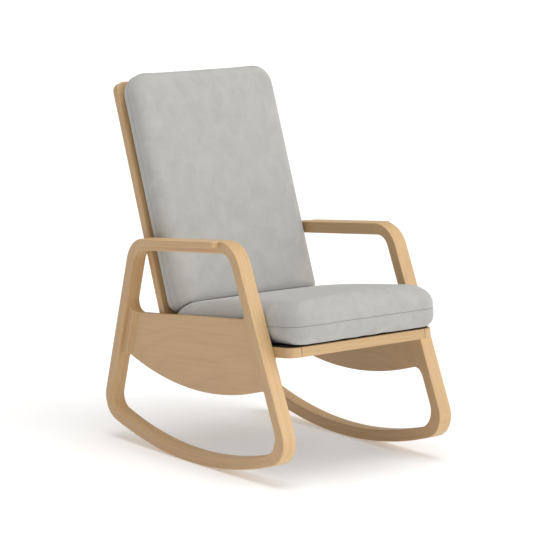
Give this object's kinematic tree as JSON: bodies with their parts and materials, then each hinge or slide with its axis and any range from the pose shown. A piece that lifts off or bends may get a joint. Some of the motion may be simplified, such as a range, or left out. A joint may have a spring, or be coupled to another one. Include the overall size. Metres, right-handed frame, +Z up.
{
  "type": "rocking chair",
  "caption": "Rocking chair: rounded timber side loops with curved rockers and side panels, raked seat frame, slatted reclined back, loose box cushions.",
  "frame": {"origin": "on the floor, at the middle of the chair's plan, on the line where the rockers touch the floor", "axes": "+Z up; the sitter faces -Y; +X to the sitter's left; +Y to the rear"},
  "size_m": [0.631, 0.8569, 1.0426],
  "materials": {
    "beech": "satin",
    "dowel_beech": "matte",
    "cover_cloth": "matte",
    "foam": "matte",
    "webbing": "matte",
    "deck_cloth": "matte",
    "bolt_steel": "satin",
    "insert_steel": "satin",
    "zip_tape": "matte",
    "zip_metal": "satin"
  },
  "bodies": {
    "root": {"back_bottom_rail": "beech", "back_cushion_cover": "cover_cloth", "back_cushion_zip_tapes": "zip_tape", "back_frame_dowels": "dowel_beech", "back_slat_1": "beech", "back_slat_2": "beech", "back_slat_3": "beech", "back_slat_4": "beech", "back_slat_5": "beech", "back_slat_6": "beech", "back_top_rail": "beech", "left_arm_pad": "beech", "left_arm_rail": "beech", "left_back_bolts": "bolt_steel", "left_back_stile": "beech", "left_frame_dowels": "dowel_beech", "left_front_leg": "beech", "left_inserts": "insert_steel", "left_rear_leg": "beech", "left_rocker": "beech", "left_seat_bolts": "bolt_steel", "left_seat_corner": "beech", "left_seat_rail": "beech", "left_side_panel": "beech", "right_arm_pad": "beech", "right_arm_rail": "beech", "right_back_bolts": "bolt_steel", "right_back_stile": "beech", "right_frame_dowels": "dowel_beech", "right_front_leg": "beech", "right_inserts": "insert_steel", "right_rear_leg": "beech", "right_rocker": "beech", "right_seat_bolts": "bolt_steel", "right_seat_corner": "beech", "right_seat_rail": "beech", "right_side_panel": "beech", "seat_cushion_core": "foam", "seat_cushion_cover": "cover_cloth", "seat_cushion_zip_tapes": "zip_tape", "seat_deck_cloth": "deck_cloth", "seat_frame_dowels": "dowel_beech", "seat_front_rail": "beech", "seat_rear_rail": "beech", "seat_webbing": "webbing"},
    "seat_zip": {"seat_cushion_zip_slider": "zip_metal"},
    "back_zip": {"back_cushion_zip_slider": "zip_metal"}
  },
  "joints": [
    {"name": "seat_zip_slide", "type": "slide", "parent": "root", "child": "seat_zip", "axis": [1, 0, 0], "range_m": [0, 0.325]},
    {"name": "back_zip_slide", "type": "slide", "parent": "root", "child": "back_zip", "axis": [1, 0, 0], "range_m": [0, 0.325]}
  ]
}
